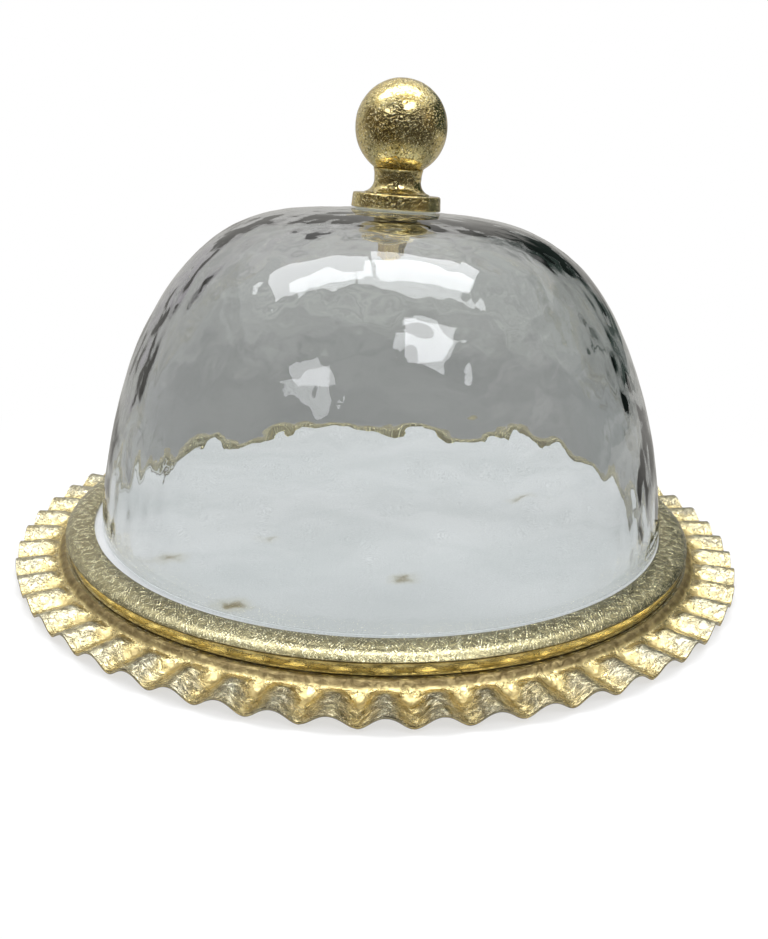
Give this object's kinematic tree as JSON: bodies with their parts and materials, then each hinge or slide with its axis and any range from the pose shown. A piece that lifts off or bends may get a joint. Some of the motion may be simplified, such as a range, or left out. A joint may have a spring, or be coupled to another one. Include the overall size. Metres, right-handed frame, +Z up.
{
  "type": "cheese dome",
  "caption": "Blown-glass bell with a gilt ball knob, resting on a round marble plate in a gilt tray with a ruffled brim.",
  "frame": {"origin": "middle of the tray, on the surface that its four feet stand on", "axes": "+Z up out of the marble, -Y towards the front, +X to the right and the way that the blown crown leans"},
  "size_m": [0.318, 0.318, 0.197],
  "materials": {
    "gilt_leaf": "satin",
    "gilt_hammered": "satin",
    "gilt_band": "satin",
    "gilt_knob": "satin",
    "marble": "satin",
    "felt": "matte",
    "glass": "gloss",
    "steel": "satin",
    "brass": "polished",
    "silicone": "satin",
    "nylon": "matte",
    "rubber": "matte"
  },
  "bodies": {
    "base": {"ruffled_tray": "gilt_leaf", "hammered_ring": "gilt_hammered", "riser_band": "gilt_band", "marble_slab": "marble", "marble_bed": "felt", "ring_screws": "steel", "rubber_foot_1": "rubber", "rubber_foot_2": "rubber", "rubber_foot_3": "rubber", "rubber_foot_4": "rubber"},
    "dome": {"glass_dome": "glass", "knob_ball": "gilt_knob", "knob_neck": "gilt_knob", "knob_flange": "gilt_knob", "knob_stud": "steel", "outer_gasket": "silicone", "hole_sleeve": "nylon", "inner_gasket": "silicone", "backing_washer": "brass", "spring_washer": "steel", "cap_nut": "brass"}
  },
  "joints": [
    {"name": "dome_lift", "type": "slide", "parent": "base", "child": "dome", "axis": [0, 0, 1], "range_m": [0, 0.2]}
  ]
}
